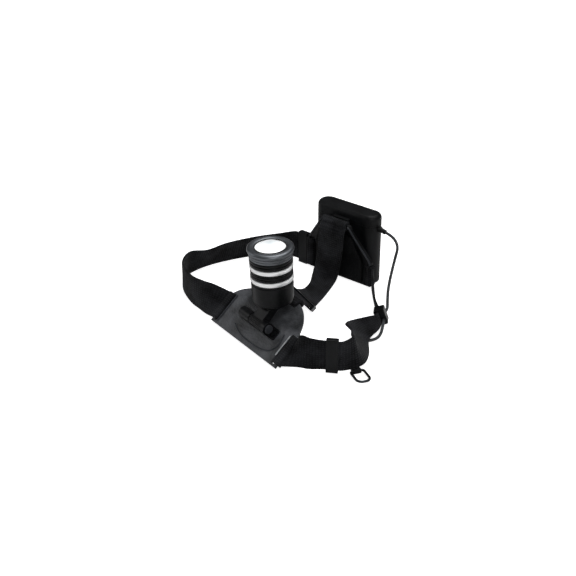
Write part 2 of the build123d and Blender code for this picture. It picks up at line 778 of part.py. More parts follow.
def band_loop(plane, bar_long, bar_deep, width):
    """A closed turn of band around a bar; the plane lies at one edge of the band."""
    with BuildSketch(plane) as around:
        RectangleRounded(bar_long + 2 * (band_gap + band_thickness), bar_deep + 2 * (band_gap + band_thickness), 1.6)
        RectangleRounded(bar_long + 2 * band_gap, bar_deep + 2 * band_gap, 0.5, mode=Mode.SUBTRACT)
    extrude(around.sketch, amount=width)


def plate_row(side):
    """Where a side band leaves the plate: middle and width vector."""
    inward, up = brow_point(plate_band_mid, -plate_wall / 2)
    reach = side * (plate_half + band_gap + band_thickness / 2)
    rise = forehead_vector(0, sine(lower_lean), cosine(lower_lean)) * band_width
    return (*forehead_point(reach, inward, up), *rise)


def plate_loop(side):
    inward, up = brow_point(plate_band_mid - band_width / 2, -plate_wall / 2)
    band_loop(forehead_plane((side * plate_bar_x, inward, up), (1, 0, 0), (0, sine(lower_lean), cosine(lower_lean))),
              bar_width, plate_wall, band_width)


rear_bar_y = -half_depth - bracket_wall / 2
knee_play = (band_foot + band_width - bracket_knee) * math.tan(math.radians(bracket_tilt)) + 0.2
rear_reach = bracket_width / 2 + band_gap + band_thickness / 2
left_route = [(-40, -128.5, 1.2, 25, 25), (-50, -129, 1, 8, 25), (-64, -126.5, 1, 0, 25), (-84, -115, 1, 0, 25),
              (-96.6, -96.9, 1, 12, 25), (-94.8, -78.6, 1, 30, 25), (-89.7, -58.1, 1, 27, 25),
              (-77.9, -34, 1, 24, 25), (-62.2, -15.9, 1, 16, 25), (-52, -11, 2, 4, 25),
              (-46.5, rear_bar_y, band_foot, 0, 25), (-rear_reach, rear_bar_y, band_foot, 0, 25)]
left_rows = leaning(left_route, [len(left_route) - 2])
with BuildPart() as left_strap:
    ribbon(blend([plate_row(-1)] + left_rows, [len(left_rows) - 1]))
    plate_loop(-1)
    band_loop(Plane(origin=(-side_bar_x, rear_bar_y - knee_play / 2, band_foot)),
              bar_width, bracket_wall + knee_play, band_width)
save(left_strap.part, "left_strap")

right_route = [(rear_reach, rear_bar_y, band_foot, 0, rear_gather), (38.5, -17.5, 2, 3, 15.5),
               (49, -29.8, 1.4, 6, 13), (60.5, -43, 1.8, 12, 11.5), (70.5, -51.5, 2.6, 20, 10),
               (76.5, -61, 2.6, 20, 10), (77.3, -69.5, 3.2, 50, 13.5), (76.3, -81.4, 4, 62, 19),
               (80.6, -94.8, 4, 49, 23.5), (91.4, -105.7, 3, 33, 25), (99, -117.6, 4.2, 25, 25),
               (100.9, -125.1, 4.6, 12, 24), (95.5, -134.2, 3, 0, 24), (84.5, -140.7, 3, 0, 24),
               (75, -144.5, 1.6, 4, 25), (66.5, -146.3, 1.5, 12, 25)]
clip_run = 4
slider_run = 12
right_rows = leaning(right_route, [clip_run, slider_run])
with BuildPart() as right_strap:
    ribbon(blend(right_rows + [plate_row(1)], [clip_run, slider_run]))
    plate_loop(1)
    band_loop(Plane(origin=(side_bar_x, rear_bar_y, band_foot)), bar_width, bracket_wall, rear_gather)
save(right_strap.part, "right_strap")

top_bar_y, top_bar_z = bracket_line(bracket_wall / 2, bracket_rise - bar_width / 2)[2]
top_bar_reach = bracket_wall / 2 + band_gap + band_thickness / 2
dome_long = (dome_bar + plate_wall * cosine(upper_lean)) / sine(upper_lean)
dome_middle = crown_point(dome_bar_y - plate_wall / 2 * cosine(upper_lean), plate_wall / 2)
dome_wall_reach = dome_long / 2 + band_gap + band_thickness / 2
dome_wall = (dome_middle[0] + dome_wall_reach * sine(upper_lean), dome_middle[1] + dome_wall_reach * cosine(upper_lean))
top_run = 8
top_route = [(0, top_bar_y - top_bar_reach * cosine(bracket_tilt), top_bar_z - top_bar_reach * sine(bracket_tilt),
              25, 0, 0),
             (0, -24.3, 46.5, 25, 0, 0), (-4, -20.5, 28, 25, 0, 0), (-8.5, -18, 10, 25, 0, 0),
             (-9, -20, 3.4, 25, 0, 0), (-6, -27, 1.6, 24.8, -2, 0), (2, -45, 1.6, 23.4, -8.8, 0),
             (8, -62, 4, 23, -9, -2), (14.5, -79, 11.5, 22.4, 0, -11.1), (20.5, -92, 22, 22.4, 0, -11.1),
             (*forehead_point(0, *dome_wall), *(forehead_vector(1, 0, 0) * band_width))]
with BuildPart() as top_strap:
    ribbon(blend(top_route, [top_run]))
    band_loop(Plane(origin=(-band_width / 2, top_bar_y, top_bar_z), x_dir=(0, -sine(bracket_tilt), cosine(bracket_tilt)),
                    z_dir=(1, 0, 0)), bar_width, bracket_wall, band_width)
    band_loop(forehead_plane((-band_width / 2, *dome_middle), (0, sine(upper_lean), cosine(upper_lean)), (1, 0, 0)),
              dome_long, plate_wall, band_width)
save(top_strap.part, "top_strap")


# ---------------------------------------------------------------- sliders, clip and ring tab
def keeper(middle, ahead, rise, width, length, rim, wall):
    """A slider around a straight run of band."""
    with BuildSketch(Plane(origin=middle - ahead * (length / 2), x_dir=rise, z_dir=ahead)) as frame:
        RectangleRounded(width + 2 * (band_gap + rim), band_thickness + 2 * (band_gap + wall), 1)
        Rectangle(width + 2 * band_gap, band_thickness + 2 * band_gap, mode=Mode.SUBTRACT)
    extrude(frame.sketch, amount=length)


def middle_and_heading(start, end):
    """The middle of a run between two rows, its heading and its width direction."""
    first = Vector(*start[:3])
    second = Vector(*end[:3])
    return (first + second) / 2, (second - first).normalized(), Vector(*start[3:6]).normalized()


keeper_length = 9.0
middle, ahead, rise = middle_and_heading(left_rows[-2], left_rows[-1])
with BuildPart() as left_slider:
    keeper(middle, ahead, rise, band_width, keeper_length, 1.9, 1.3)
save(left_slider.part, "left_slider")

middle, ahead, rise = middle_and_heading(right_rows[slider_run], right_rows[slider_run + 1])
with BuildPart() as right_slider:
    keeper(middle, ahead, rise, 24, keeper_length, 1.6, 1.2)
save(right_slider.part, "right_slider")

middle, ahead, rise = middle_and_heading(top_route[top_run], top_route[top_run + 1])
with BuildPart() as top_slider:
    keeper(middle, ahead, rise, band_width, keeper_length, 1.9, 1.3)
save(top_slider.part, "top_slider")

middle, ahead, rise = middle_and_heading(right_rows[clip_run], right_rows[clip_run + 1])
clip_plane = Plane(origin=middle - ahead * 4, x_dir=rise, z_dir=ahead)
clip_lead = (-2.5, -3.4)
with BuildPart() as strap_clip:
    with BuildSketch(clip_plane):
        with Locations((0, -1.6)):
            RectangleRounded(13.4, 8.6, 1.2)
        Rectangle(10.8, band_thickness + 2 * band_gap, mode=Mode.SUBTRACT)
        with Locations(clip_lead):
            Circle(lead_radius + 0.3, mode=Mode.SUBTRACT)
    extrude(amount=8)
save(strap_clip.part, "strap_clip")

ring_pivot = Vector(104, -125.7, 1.95)
ring_out = Vector(0.866, -0.5, 0)
ring_side = Vector(0.5, 0.866, 0)
tab_width = ring_width - 4 * ring_wire - 2.6
tab_depth = 7.0
with BuildPart() as ring_tab:
    with BuildSketch(Plane(origin=ring_pivot - ring_side * (tab_width / 2), x_dir=ring_out, z_dir=ring_side)):
        with Locations((1.9 - tab_depth / 2, 0)):
            RectangleRounded(tab_depth, 3.7, 1.2)
        Circle(ring_wire + 0.08, mode=Mode.SUBTRACT)
    extrude(amount=tab_width)
save(ring_tab.part, "ring_tab")

with BuildPart() as lanyard_ring:
    with BuildLine(Plane(origin=ring_pivot, x_dir=ring_side, z_dir=(0, 0, -1))) as loop_line:
        half = ring_width / 2 - ring_wire
        reach = ring_length - 2 * ring_wire
        Polyline((half, 0), (half, reach), (-half, reach), (-half, 0), close=True)
        fillet(loop_line.vertices().sort_by(Axis(ring_pivot, ring_out))[:2], radius=ring_corner)
        fillet(loop_line.vertices().sort_by(Axis(ring_pivot, ring_out))[-2:], radius=ring_bow)
    with BuildSketch(Plane(origin=loop_line.wire() @ 0, z_dir=loop_line.wire() % 0)):
        Circle(ring_wire)
    sweep(path=loop_line.wire())
save(lanyard_ring.part, "lanyard_ring")

# ---------------------------------------------------------------- lead and its grommet
grommet_axis = (0, 0.438, -0.899)
grommet_root = (plate_width / 2 - grommet_inset, 25.4, 19.1)
grommet_length = 5.0
mouth = tuple(a + grommet_length * b for a, b in zip(grommet_root, grommet_axis))
with BuildPart() as lead_grommet:
    with BuildSketch(forehead_plane(grommet_root, (1, 0, 0), grommet_axis)):
        Circle(2.6)
    extrude(amount=grommet_length)
save(lead_grommet.part, "lead_grommet")

lead_points = [boot_plane.from_local_coords(Vector(0, 0, boot_length)),
               boot_plane.from_local_coords(Vector(0, 0, boot_length + 14.8)), Vector(49.8, -4.5, 25),
               Vector(51.5, -13, 8), Vector(60.5, -26.5, 4.6), Vector(70.2, -40, 5.6),
               clip_plane.from_local_coords(Vector(*clip_lead, -5)),
               clip_plane.from_local_coords(Vector(*clip_lead, 13)),
               Vector(88.5, -75, 2), Vector(85, -85, 1.4), Vector(76, -89.5, 1.4), Vector(74, -100, 1.4),
               Vector(81.5, -111.5, 1.4), Vector(86, -124, 1.4), Vector(85, -133.5, 1.4), Vector(74.8, -138.6, 1.4),
               forehead_point(48.5, 30, 1.6), forehead_point(40, 31.9, 2.4),
               forehead_point(*(a + 7.0 * b for a, b in zip(mouth, grommet_axis))), forehead_point(*mouth)]
lead_radii = []
for before, here, after in zip(lead_points, lead_points[1:], lead_points[2:]):
    turn_angle = (here - before).get_angle(after - here)
    shorter = min((here - before).length, (after - here).length)
    lead_radii.append(0.45 * shorter / math.tan(math.radians(turn_angle / 2)))
with BuildPart() as lead:
    with BuildLine() as lead_line:
        FilletPolyline(*lead_points, radius=lead_radii)
    with BuildSketch(Plane(origin=lead_line.line @ 0, z_dir=lead_line.line % 0)):
        Circle(lead_radius)
    sweep(path=lead_line.line)
save(lead.part, "lead")

print("lead radii", [round(radius, 1) for radius in lead_radii])
print("lead length", round(lead_line.wire().length, 1))
print("lead volume", round(lead.part.volume, 1), round(math.pi * lead_radius ** 2 * lead_line.wire().length, 1))
print("lead route", [tuple(round(value, 2) for value in tuple(point)) for point in lead_points])
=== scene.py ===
import math
import bmesh
import bpy
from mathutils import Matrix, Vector


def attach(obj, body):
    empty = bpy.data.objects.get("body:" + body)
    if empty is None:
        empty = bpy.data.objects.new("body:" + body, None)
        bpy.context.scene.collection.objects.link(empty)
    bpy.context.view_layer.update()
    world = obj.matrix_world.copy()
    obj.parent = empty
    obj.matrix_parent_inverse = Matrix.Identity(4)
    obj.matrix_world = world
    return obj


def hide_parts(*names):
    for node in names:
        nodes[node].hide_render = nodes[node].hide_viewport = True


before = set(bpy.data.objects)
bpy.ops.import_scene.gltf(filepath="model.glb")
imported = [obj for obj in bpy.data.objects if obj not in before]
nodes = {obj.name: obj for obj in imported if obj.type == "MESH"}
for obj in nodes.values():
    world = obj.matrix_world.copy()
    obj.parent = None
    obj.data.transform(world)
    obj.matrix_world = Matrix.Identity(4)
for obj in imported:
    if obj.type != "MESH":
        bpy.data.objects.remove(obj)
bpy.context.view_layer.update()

MM = 0.001

# Corners closer than this, in metres, are merged: on copies of CAD nodes, on turned pieces and on bands
WELD = 0.00002
TURNED_WELD = 0.000004
BAND_WELD = 0.00001


# ---------------------------------------------------------------- the two frames
def sine(degrees):
    return math.sin(math.radians(degrees))


def cosine(degrees):
    return math.cos(math.radians(degrees))


BROW_TURN = 14.7
LAMP_LEAN = 3
PLATE_SLOPE = 50
CROWN_SLOPE = 78
BRACKET_TILT = 17
BROW_FOOT = Vector((12, -150, 0))


def forehead_vector(right, inward, up):
    """A direction in forehead axes, turned into the set's axes."""
    return Vector((right * cosine(BROW_TURN) + inward * sine(BROW_TURN),
                   inward * cosine(BROW_TURN) - right * sine(BROW_TURN), up))


def forehead_point(right, inward, up):
    """A point in forehead axes, in millimetres of the set's axes."""
    return BROW_FOOT + forehead_vector(right, inward, up)


LAMP_FOOT = forehead_point(2, 28.5, 31)
LAMP_UP = forehead_vector(0, -sine(LAMP_LEAN), cosine(LAMP_LEAN))
LAMP_RIGHT = forehead_vector(1, 0, 0)
LAMP_IN = forehead_vector(0, cosine(LAMP_LEAN), sine(LAMP_LEAN))


def lamp_point(right, inward, height):
    """A point in the lamp's axes, with its height up the barrel."""
    return LAMP_FOOT + LAMP_RIGHT * right + LAMP_IN * inward + LAMP_UP * height


# ---------------------------------------------------------------- camera
def place_camera():
    data = bpy.data.cameras.new("camera")
    data.lens = 70.3
    data.sensor_width = 36
    camera = bpy.data.objects.new("camera", data)
    bpy.context.collection.objects.link(camera)
    target = Vector((4, -85, 20)) * MM
    azimuth, elevation, distance = 40, 28, 900 * MM
    away = Vector((cosine(elevation) * sine(azimuth), -cosine(elevation) * cosine(azimuth), sine(elevation)))
    camera.location = target + away * distance
    camera.rotation_euler = (-away).to_track_quat("-Z", "Y").to_euler()
    bpy.context.scene.camera = camera


place_camera()


# ---------------------------------------------------------------- materials
def linear(code):
    """A hex sRGB colour as linear RGBA."""
    values = [int(code[i:i + 2], 16) / 255 for i in (1, 3, 5)]
    return [*(v / 12.92 if v <= 0.04045 else ((v + 0.055) / 1.055) ** 2.4 for v in values), 1]


def add(tree, kind, settings=None, **links):
    """Add a node, set its inputs or properties, and link its inputs to other nodes' outputs."""
    node = tree.nodes.new(kind)
    for key, value in (settings or {}).items():
        if key in node.inputs.keys():
            node.inputs[key].default_value = value
        else:
            setattr(node, key, value)
    for key, source in links.items():
        tree.links.new(source, node.inputs[key.replace("_", " ")])
    return node


def finish(name, colour, roughness, metallic=0.0, **more):
    """A material with a plain shader; returns it, its tree and the shader."""
    material = bpy.data.materials.new(name)
    material.use_nodes = True
    tree = material.node_tree
    shader = tree.nodes["Principled BSDF"]
    shader.inputs["Base Color"].default_value = linear(colour)
    shader.inputs["Roughness"].default_value = roughness
    shader.inputs["Metallic"].default_value = metallic
    for key, value in more.items():
        shader.inputs[key.replace("_", " ")].default_value = value
    return material, tree, shader


def uneven(tree, shader, colour, other, scale, rough_low, rough_high):
    """Vary colour and roughness slowly over the surface, as handling does."""
    place = add(tree, "ShaderNodeTexCoord")
    cloud = add(tree, "ShaderNodeTexNoise", {"Scale": scale, "Detail": 4.0}, Vector=place.outputs["Object"])
    patches = add(tree, "ShaderNodeMapRange", {"From Min": 0.36, "From Max": 0.66},
                  Value=cloud.outputs["Fac"])
    mix = add(tree, "ShaderNodeMix", {"data_type": "RGBA"}, Factor=patches.outputs["Result"])
    mix.inputs[6].default_value = linear(colour)
    mix.inputs[7].default_value = linear(other)
    tree.links.new(mix.outputs[2], shader.inputs["Base Color"])
    spread = add(tree, "ShaderNodeMapRange", {"To Min": rough_low, "To Max": rough_high},
                 Value=cloud.outputs["Fac"])
    tree.links.new(spread.outputs["Result"], shader.inputs["Roughness"])
    return place


def moulded_abs():
    # Injection-moulded black ABS: spark-eroded grain of about half a millimetre, soft sheen
    material, tree, shader = finish("moulded_abs", "#0a0a0b", 0.45, Specular_IOR_Level=0.16)
    place = uneven(tree, shader, "#060607", "#121315", 60, 0.34, 0.55)
    grain = add(tree, "ShaderNodeTexNoise", {"Scale": 1800.0, "Detail": 2.0}, Vector=place.outputs["Object"])
    relief = add(tree, "ShaderNodeBump", {"Strength": 0.25, "Distance": 0.0002}, Height=grain.outputs["Fac"])
    tree.links.new(relief.outputs["Normal"], shader.inputs["Normal"])
    return material


def smooth_acetal(name, colour, other):
    # Moulded acetal hardware: smoother than the case, with a faint swirl of about a millimetre
    material, tree, shader = finish(name, colour, 0.35, Specular_IOR_Level=0.15)
    place = uneven(tree, shader, colour, other, 120, 0.28, 0.42)
    grain = add(tree, "ShaderNodeTexNoise", {"Scale": 900.0, "Detail": 2.0}, Vector=place.outputs["Object"])
    relief = add(tree, "ShaderNodeBump", {"Strength": 0.12, "Distance": 0.0001}, Height=grain.outputs["Fac"])
    tree.links.new(relief.outputs["Normal"], shader.inputs["Normal"])
    return material


def anodised_black():
    # Turned aluminium, black anodised: dark with a tight sheen and faint lathe lines every 0.35 mm
    material, tree, shader = finish("anodised_black", "#08090a", 0.32, 0.3, Specular_IOR_Level=0.22)
    place = uneven(tree, shader, "#090a0b", "#101113", 90, 0.3, 0.42)
    lines = add(tree, "ShaderNodeTexWave", {"wave_type": "BANDS", "bands_direction": "Z", "Scale": 900.0,
                                            "Distortion": 0.4}, Vector=place.outputs["Object"])
    relief = add(tree, "ShaderNodeBump", {"Strength": 0.06, "Distance": 0.0001}, Height=lines.outputs["Fac"])
    tree.links.new(relief.outputs["Normal"], shader.inputs["Normal"])
    return material


def turned_silver():
    # Polished aluminium ring, clear anodised: bright, with fine turning lines every 0.26 mm
    material, tree, shader = finish("turned_silver", "#f4f5f6", 0.3, 0.75)
    place = uneven(tree, shader, "#f0f1f2", "#fbfbfb", 80, 0.26, 0.36)
    lines = add(tree, "ShaderNodeTexWave", {"wave_type": "BANDS", "bands_direction": "Z", "Scale": 1200.0},
                Vector=place.outputs["Object"])
    relief = add(tree, "ShaderNodeBump", {"Strength": 0.04, "Distance": 0.00005}, Height=lines.outputs["Fac"])
    tree.links.new(relief.outputs["Normal"], shader.inputs["Normal"])
    return material


def plain_metal(name, colour, roughness):
    # Bright, blackened or worn metal: slight blotches from handling, about 3 mm across
    material, tree, shader = finish(name, colour, roughness, 1.0)
    place = add(tree, "ShaderNodeTexCoord")
    cloud = add(tree, "ShaderNodeTexNoise", {"Scale": 300.0, "Detail": 3.0}, Vector=place.outputs["Object"])
    spread = add(tree, "ShaderNodeMapRange", {"To Min": roughness * 0.8, "To Max": roughness * 1.3},
                 Value=cloud.outputs["Fac"])
    tree.links.new(spread.outputs["Result"], shader.inputs["Roughness"])
    relief = add(tree, "ShaderNodeBump", {"Strength": 0.05, "Distance": 0.0001}, Height=cloud.outputs["Fac"])
    tree.links.new(relief.outputs["Normal"], shader.inputs["Normal"])
    return material


def woven_elastic():
    # Black polyester elastic: ribs across the band every 2.2 mm and yarns along it every 1.8 mm;
    # the real weave is finer, and is drawn coarse enough to show
    material, tree, shader = finish("woven_elastic", "#0c0c0d", 0.85, 0.0, Specular_IOR_Level=0.08,
                                    Sheen_Weight=0.04, Sheen_Roughness=0.5)
    cloth = add(tree, "ShaderNodeUVMap", {"uv_map": "band"})
    ribs = add(tree, "ShaderNodeTexWave", {"wave_type": "BANDS", "bands_direction": "X", "Scale": 143.0,
                                           "Distortion": 0.6, "Detail Scale": 2.0},
               Vector=cloth.outputs["UV"])
    yarns = add(tree, "ShaderNodeTexWave", {"wave_type": "BANDS", "bands_direction": "Y", "Scale": 175.0,
                                            "Distortion": 0.4}, Vector=cloth.outputs["UV"])
    weave = add(tree, "ShaderNodeMath", {"operation": "MULTIPLY"})
    tree.links.new(ribs.outputs["Fac"], weave.inputs[0])
    tree.links.new(yarns.outputs["Fac"], weave.inputs[1])
    rubbed = add(tree, "ShaderNodeTexNoise", {"Scale": 55.0, "Detail": 5.0}, Vector=cloth.outputs["UV"])
    wear = add(tree, "ShaderNodeMapRange", {"From Min": 0.36, "From Max": 0.68, "To Min": 0.0,
                                            "To Max": 0.75}, Value=rubbed.outputs["Fac"])
    # The weave also sets the colour, lighter on its raised ribs and darker in the hollows between them:
    # painted highlight and shade. The noise adds lighter patches of wear
    shade = add(tree, "ShaderNodeMath", {"operation": "MULTIPLY_ADD"})
    tree.links.new(weave.outputs[0], shade.inputs[0])
    tree.links.new(wear.outputs["Result"], shade.inputs[2])
    shade.inputs[1].default_value = 0.3
    mix = add(tree, "ShaderNodeMix", {"data_type": "RGBA"}, Factor=shade.outputs[0])
    mix.inputs[6].default_value = linear("#020203")
    mix.inputs[7].default_value = linear("#2b2c2f")
    tree.links.new(mix.outputs[2], shader.inputs["Base Color"])
    relief = add(tree, "ShaderNodeBump", {"Strength": 0.7, "Distance": 0.0005}, Height=weave.outputs[0])
    tree.links.new(relief.outputs["Normal"], shader.inputs["Normal"])
    return material


def grained_skin(name, colour, other, roughness, gloss):
    # Coated synthetic leather over foam: pebble of about 1.6 mm and a soft highlight
    material, tree, shader = finish(name, colour, roughness, Specular_IOR_Level=gloss)
    place = uneven(tree, shader, colour, other, 70, roughness - 0.1, roughness + 0.12)
    pebble = add(tree, "ShaderNodeTexVoronoi", {"Scale": 620.0}, Vector=place.outputs["Object"])
    relief = add(tree, "ShaderNodeBump", {"Strength": 0.5, "Distance": 0.0005},
                 Height=pebble.outputs["Distance"])
    tree.links.new(relief.outputs["Normal"], shader.inputs["Normal"])
    return material


def soft_rubber(name, colour, other):
    # Moulded rubber, and the PVC of the lead's sheath: matte, with a faint bloom
    material, tree, shader = finish(name, colour, 0.55, Specular_IOR_Level=0.25)
    place = uneven(tree, shader, colour, other, 150, 0.48, 0.62)
    grain = add(tree, "ShaderNodeTexNoise", {"Scale": 1500.0}, Vector=place.outputs["Object"])
    relief = add(tree, "ShaderNodeBump", {"Strength": 0.1, "Distance": 0.0001}, Height=grain.outputs["Fac"])
    tree.links.new(relief.outputs["Normal"], shader.inputs["Normal"])
    return material


LENS_GREY = 0.009
LAMP_HEIGHT = 50


def frosted_lens_painted_glow():
    # Domed acrylic lens over a white reflector: bright white, faintly grey at its middle. Its emission is a
    # painted glow standing in for light on the white reflector; the LED inside gives no light
    material, tree, shader = finish("frosted_lens_painted_glow", "#f6f8f8", 0.12, Coat_Weight=0.6, Coat_Roughness=0.05,
                                    Emission_Strength=0.55)
    place = add(tree, "ShaderNodeTexCoord")
    middle = lamp_point(0, 0, LAMP_HEIGHT) * MM
    centred = add(tree, "ShaderNodeMapping", {"Location": tuple(-co / LENS_GREY for co in middle),
                                              "Scale": (1 / LENS_GREY,) * 3}, Vector=place.outputs["Object"])
    fall = add(tree, "ShaderNodeTexGradient", {"gradient_type": "SPHERICAL"},
               Vector=centred.outputs["Vector"])
    mix = add(tree, "ShaderNodeMix", {"data_type": "RGBA"}, Factor=fall.outputs["Fac"])
    mix.inputs[6].default_value = linear("#fbfcfc")
    mix.inputs[7].default_value = linear("#c4cacd")
    tree.links.new(mix.outputs[2], shader.inputs["Base Color"])
    # The same colour drives the emission: a painted glow
    tree.links.new(mix.outputs[2], shader.inputs["Emission Color"])
    return material


def painted(name, colour, other, roughness):
    # Printed or coated small pieces inside the case and the lamp
    material, tree, shader = finish(name, colour, roughness)
    uneven(tree, shader, colour, other, 200, roughness - 0.05, roughness + 0.1)
    return material


ABS = moulded_abs()
ACETAL = smooth_acetal("acetal", "#0b0c0d", "#121315")
# Pale acetal for the hinge pin, the clip tongue and the plate's raised edge, and for beads that are painted
# highlights on the bracket's rims and a slot bar
PALE_ACETAL_AND_HIGHLIGHT = smooth_acetal("pale_acetal_and_highlight", "#2c2e31", "#3a3c40")
ANODISED = anodised_black()
WORN = plain_metal("worn_anodising", "#6a6d71", 0.4)
SILVER = turned_silver()
STEEL = plain_metal("bright_steel", "#a9abae", 0.3)
DARK_STEEL = plain_metal("blackened_steel", "#3a3c3f", 0.35)
BARE = plain_metal("machined_aluminium", "#c2c4c7", 0.35)
ELASTIC = woven_elastic()
PLATE_SKIN = grained_skin("plate_skin", "#1c1e20", "#4b4d51", 0.42, 0.45)
PAD_SKIN = grained_skin("pad_skin", "#040405", "#0c0d0e", 0.65, 0.1)
RUBBER = soft_rubber("soft_rubber", "#090a0a", "#101112")
SHEATH = soft_rubber("lead_sheath_pvc", "#303234", "#3e4043")
LENS_PAINTED_GLOW = frosted_lens_painted_glow()
BOARD = painted("solder_mask", "#15402a", "#1c5236", 0.4)
SLEEVE = painted("cell_sleeve", "#1d5a44", "#237052", 0.35)
PHOSPHOR = painted("phosphor", "#e8d25a", "#f2e27c", 0.5)


# ---------------------------------------------------------------- the lead
LEAD_ROUTE = [(37.51, 0, 48.53), (52.09, 0, 45.96), (49.8, -4.5, 25), (51.5, -13, 8), (60.5, -26.5, 4.6),
              (70.2, -40, 5.6), (72.12, -46.48, 6.11), (81.73, -61.7, 6.11), (88.5, -75, 2), (85, -85, 1.4),
              (76, -89.5, 1.4), (74, -100, 1.4), (81.5, -111.5, 1.4), (86, -124, 1.4), (85, -133.5, 1.4),
              (74.8, -138.6, 1.4), (66.53, -133.29, 1.6), (58.79, -129.29, 2.4), (53.63, -129.23, 8.31),
              (52.86, -132.19, 14.61)]


def round_line(name, points, radius, material, along, around):
    """A round line through places in mm, with `along` steps to a span; more `around` makes it rounder."""
    data = bpy.data.curves.new(name, "CURVE")
    data.dimensions = "3D"
    spline = data.splines.new("NURBS")
    spline.points.add(len(points) - 1)
    for point, place in zip(spline.points, points):
        point.co = (*(Vector(place) * MM), 1)
    spline.order_u = 3
    spline.use_endpoint_u = True
    spline.resolution_u = along
    data.bevel_depth = radius * MM
    data.bevel_resolution = around
    data.use_fill_caps = True
    data.materials.append(material)
    made = bpy.data.objects.new(name, data)
    bpy.context.collection.objects.link(made)
    return made


def lay_lead():
    lead = round_line("lead_sheath", LEAD_ROUTE, 1.2, SHEATH, 12, 5)
    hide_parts("lead")
    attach(lead, "set")


lay_lead()


# ---------------------------------------------------------------- making pieces
def piece(name, mesh_work, material, body, stands_for=(), smooth_angle=35):
    """Finish a bmesh as a piece of the set."""
    bmesh.ops.recalc_face_normals(mesh_work, faces=mesh_work.faces)
    mesh = bpy.data.meshes.new(name)
    mesh_work.to_mesh(mesh)
    mesh_work.free()
    return settle(name, mesh, material, body, stands_for, smooth_angle)


def settle(name, mesh, material, body, stands_for=(), smooth_angle=35):
    """Make a mesh an object with smooth faces, on its body and in place of its CAD nodes."""
    for face in mesh.polygons:
        face.use_smooth = True
    mesh.set_sharp_from_angle(angle=math.radians(smooth_angle))
    made = bpy.data.objects.new(name, mesh)
    made.data.materials.append(material)
    bpy.context.collection.objects.link(made)
    if stands_for:
        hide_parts(*stands_for)
    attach(made, body)
    return made


def soften(made, width, segments=3, angle=40):
    """Round a piece's edges."""
    rounding = made.modifiers.new("edges", "BEVEL")
    rounding.width = width * MM
    rounding.segments = segments
    rounding.limit_method = "ANGLE"
    rounding.angle_limit = math.radians(angle)
    rounding.harden_normals = True
    return made


def rounded(node, material, body, width, segments=3):
    """A copy of a CAD node with its edges rounded."""
    work = bmesh.new()
    work.from_mesh(nodes[node].data)
    bmesh.ops.remove_doubles(work, verts=work.verts, dist=WELD)
    bmesh.ops.dissolve_limit(work, angle_limit=math.radians(1.5), verts=work.verts, edges=work.edges)
    made = piece(node + "_finished", work, material, body, [node])
    return soften(made, width, segments)


def spun(name, profile, material, body, stands_for=(), steps=112, smooth_angle=30):
    """Turn a closed outline of (radius, height) points round the lamp's axis."""
    work = bmesh.new()
    points = [work.verts.new(lamp_point(radius, 0, height) * MM) for radius, height in profile]
    edges = [work.edges.new((a, b)) for a, b in zip(points, points[1:] + points[:1])]
    bmesh.ops.spin(work, geom=points + edges, cent=LAMP_FOOT * MM, axis=LAMP_UP, dvec=(0, 0, 0),
                   angle=math.tau, steps=steps, use_merge=True, use_duplicate=False)
    bmesh.ops.remove_doubles(work, verts=work.verts, dist=TURNED_WELD)
    return piece(name, work, material, body, stands_for, smooth_angle)


def arc(centre, radius, start, end, count):
    """Points of an arc in an outline."""
    return [(centre[0] + radius * cosine(start + (end - start) * i / count),
             centre[1] + radius * sine(start + (end - start) * i / count)) for i in range(count + 1)]


# ---------------------------------------------------------------- bands
THICKNESS = 1.8
BAND_WIDTH = 25
BAR_PLAY = 0.3
TURN_CORNER = 1.1
BAR_LONG = 2.8
BAR_DEEP = 2.4
PLATE_WALL = 2.2


def blend(rows, straight, parts):
    """A smooth line through rows of numbers, as (row, place along the rows)."""
    smooth = []
    for index in range(len(rows) - 1):
        before = rows[max(index - 1, 0)]
        here = rows[index]
        there = rows[index + 1]
        after = rows[min(index + 2, len(rows) - 1)]
        for part in range(parts):
            t = part / parts
            if index in straight:
                smooth.append([b + (c - b) * t for b, c in zip(here, there)])
                continue
            smooth.append([0.5 * (2 * b + (c - a) * t + (2 * a - 5 * b + 4 * c - d) * t * t
                                  + (3 * b - a - 3 * c + d) * t * t * t)
                           for a, b, c, d in zip(before, here, there, after)])
    smooth.append(list(rows[-1]))
    return smooth


def leaning(stations, straight):
    """Turn rows of x, y, foot height, inward lean and width into middles and width vectors."""
    last = len(stations) - 1
    rows = []
    for index, (x, y, foot, lean, width) in enumerate(stations):
        first = index if index in straight else max(index - 1, 0)
        second = index if index - 1 in straight else min(index + 1, last)
        ahead = Vector((stations[second][0] - stations[first][0],
                        stations[second][1] - stations[first][1], 0))
        ahead.normalize()
        rise = Vector((ahead.y * sine(lean), -ahead.x * sine(lean), cosine(lean))) * width
        rows.append((x, y, foot + rise.z / 2, *rise))
    return rows


def ribbon(work, rows, across=10):
    """Lay one length of band in the bmesh along rows of a middle and a width vector."""
    count = len(rows)
    band = bmesh.new()
    bmesh.ops.create_grid(band, x_segments=count - 1, y_segments=across, size=1)
    layer = band.loops.layers.uv.new("band")
    run = [0.0]
    for a, b in zip(rows, rows[1:]):
        run.append(run[-1] + (Vector(b[:3]) - Vector(a[:3])).length * MM)
    place = {}
    for vert in band.verts:
        index = round((vert.co.x + 1) / 2 * (count - 1))
        side = vert.co.y / 2
        place[vert] = (index, side)
    for vert, (index, side) in place.items():
        row = rows[index]
        vert.co = (Vector(row[:3]) + Vector(row[3:6]) * side) * MM
    for face in band.faces:
        for loop in face.loops:
            index, side = place[loop.vert]
            loop[layer].uv = (run[index], side * Vector(rows[index][3:6]).length * MM)
    mesh = bpy.data.meshes.new("length")
    band.to_mesh(mesh)
    band.free()
    work.from_mesh(mesh)
    bpy.data.meshes.remove(mesh)


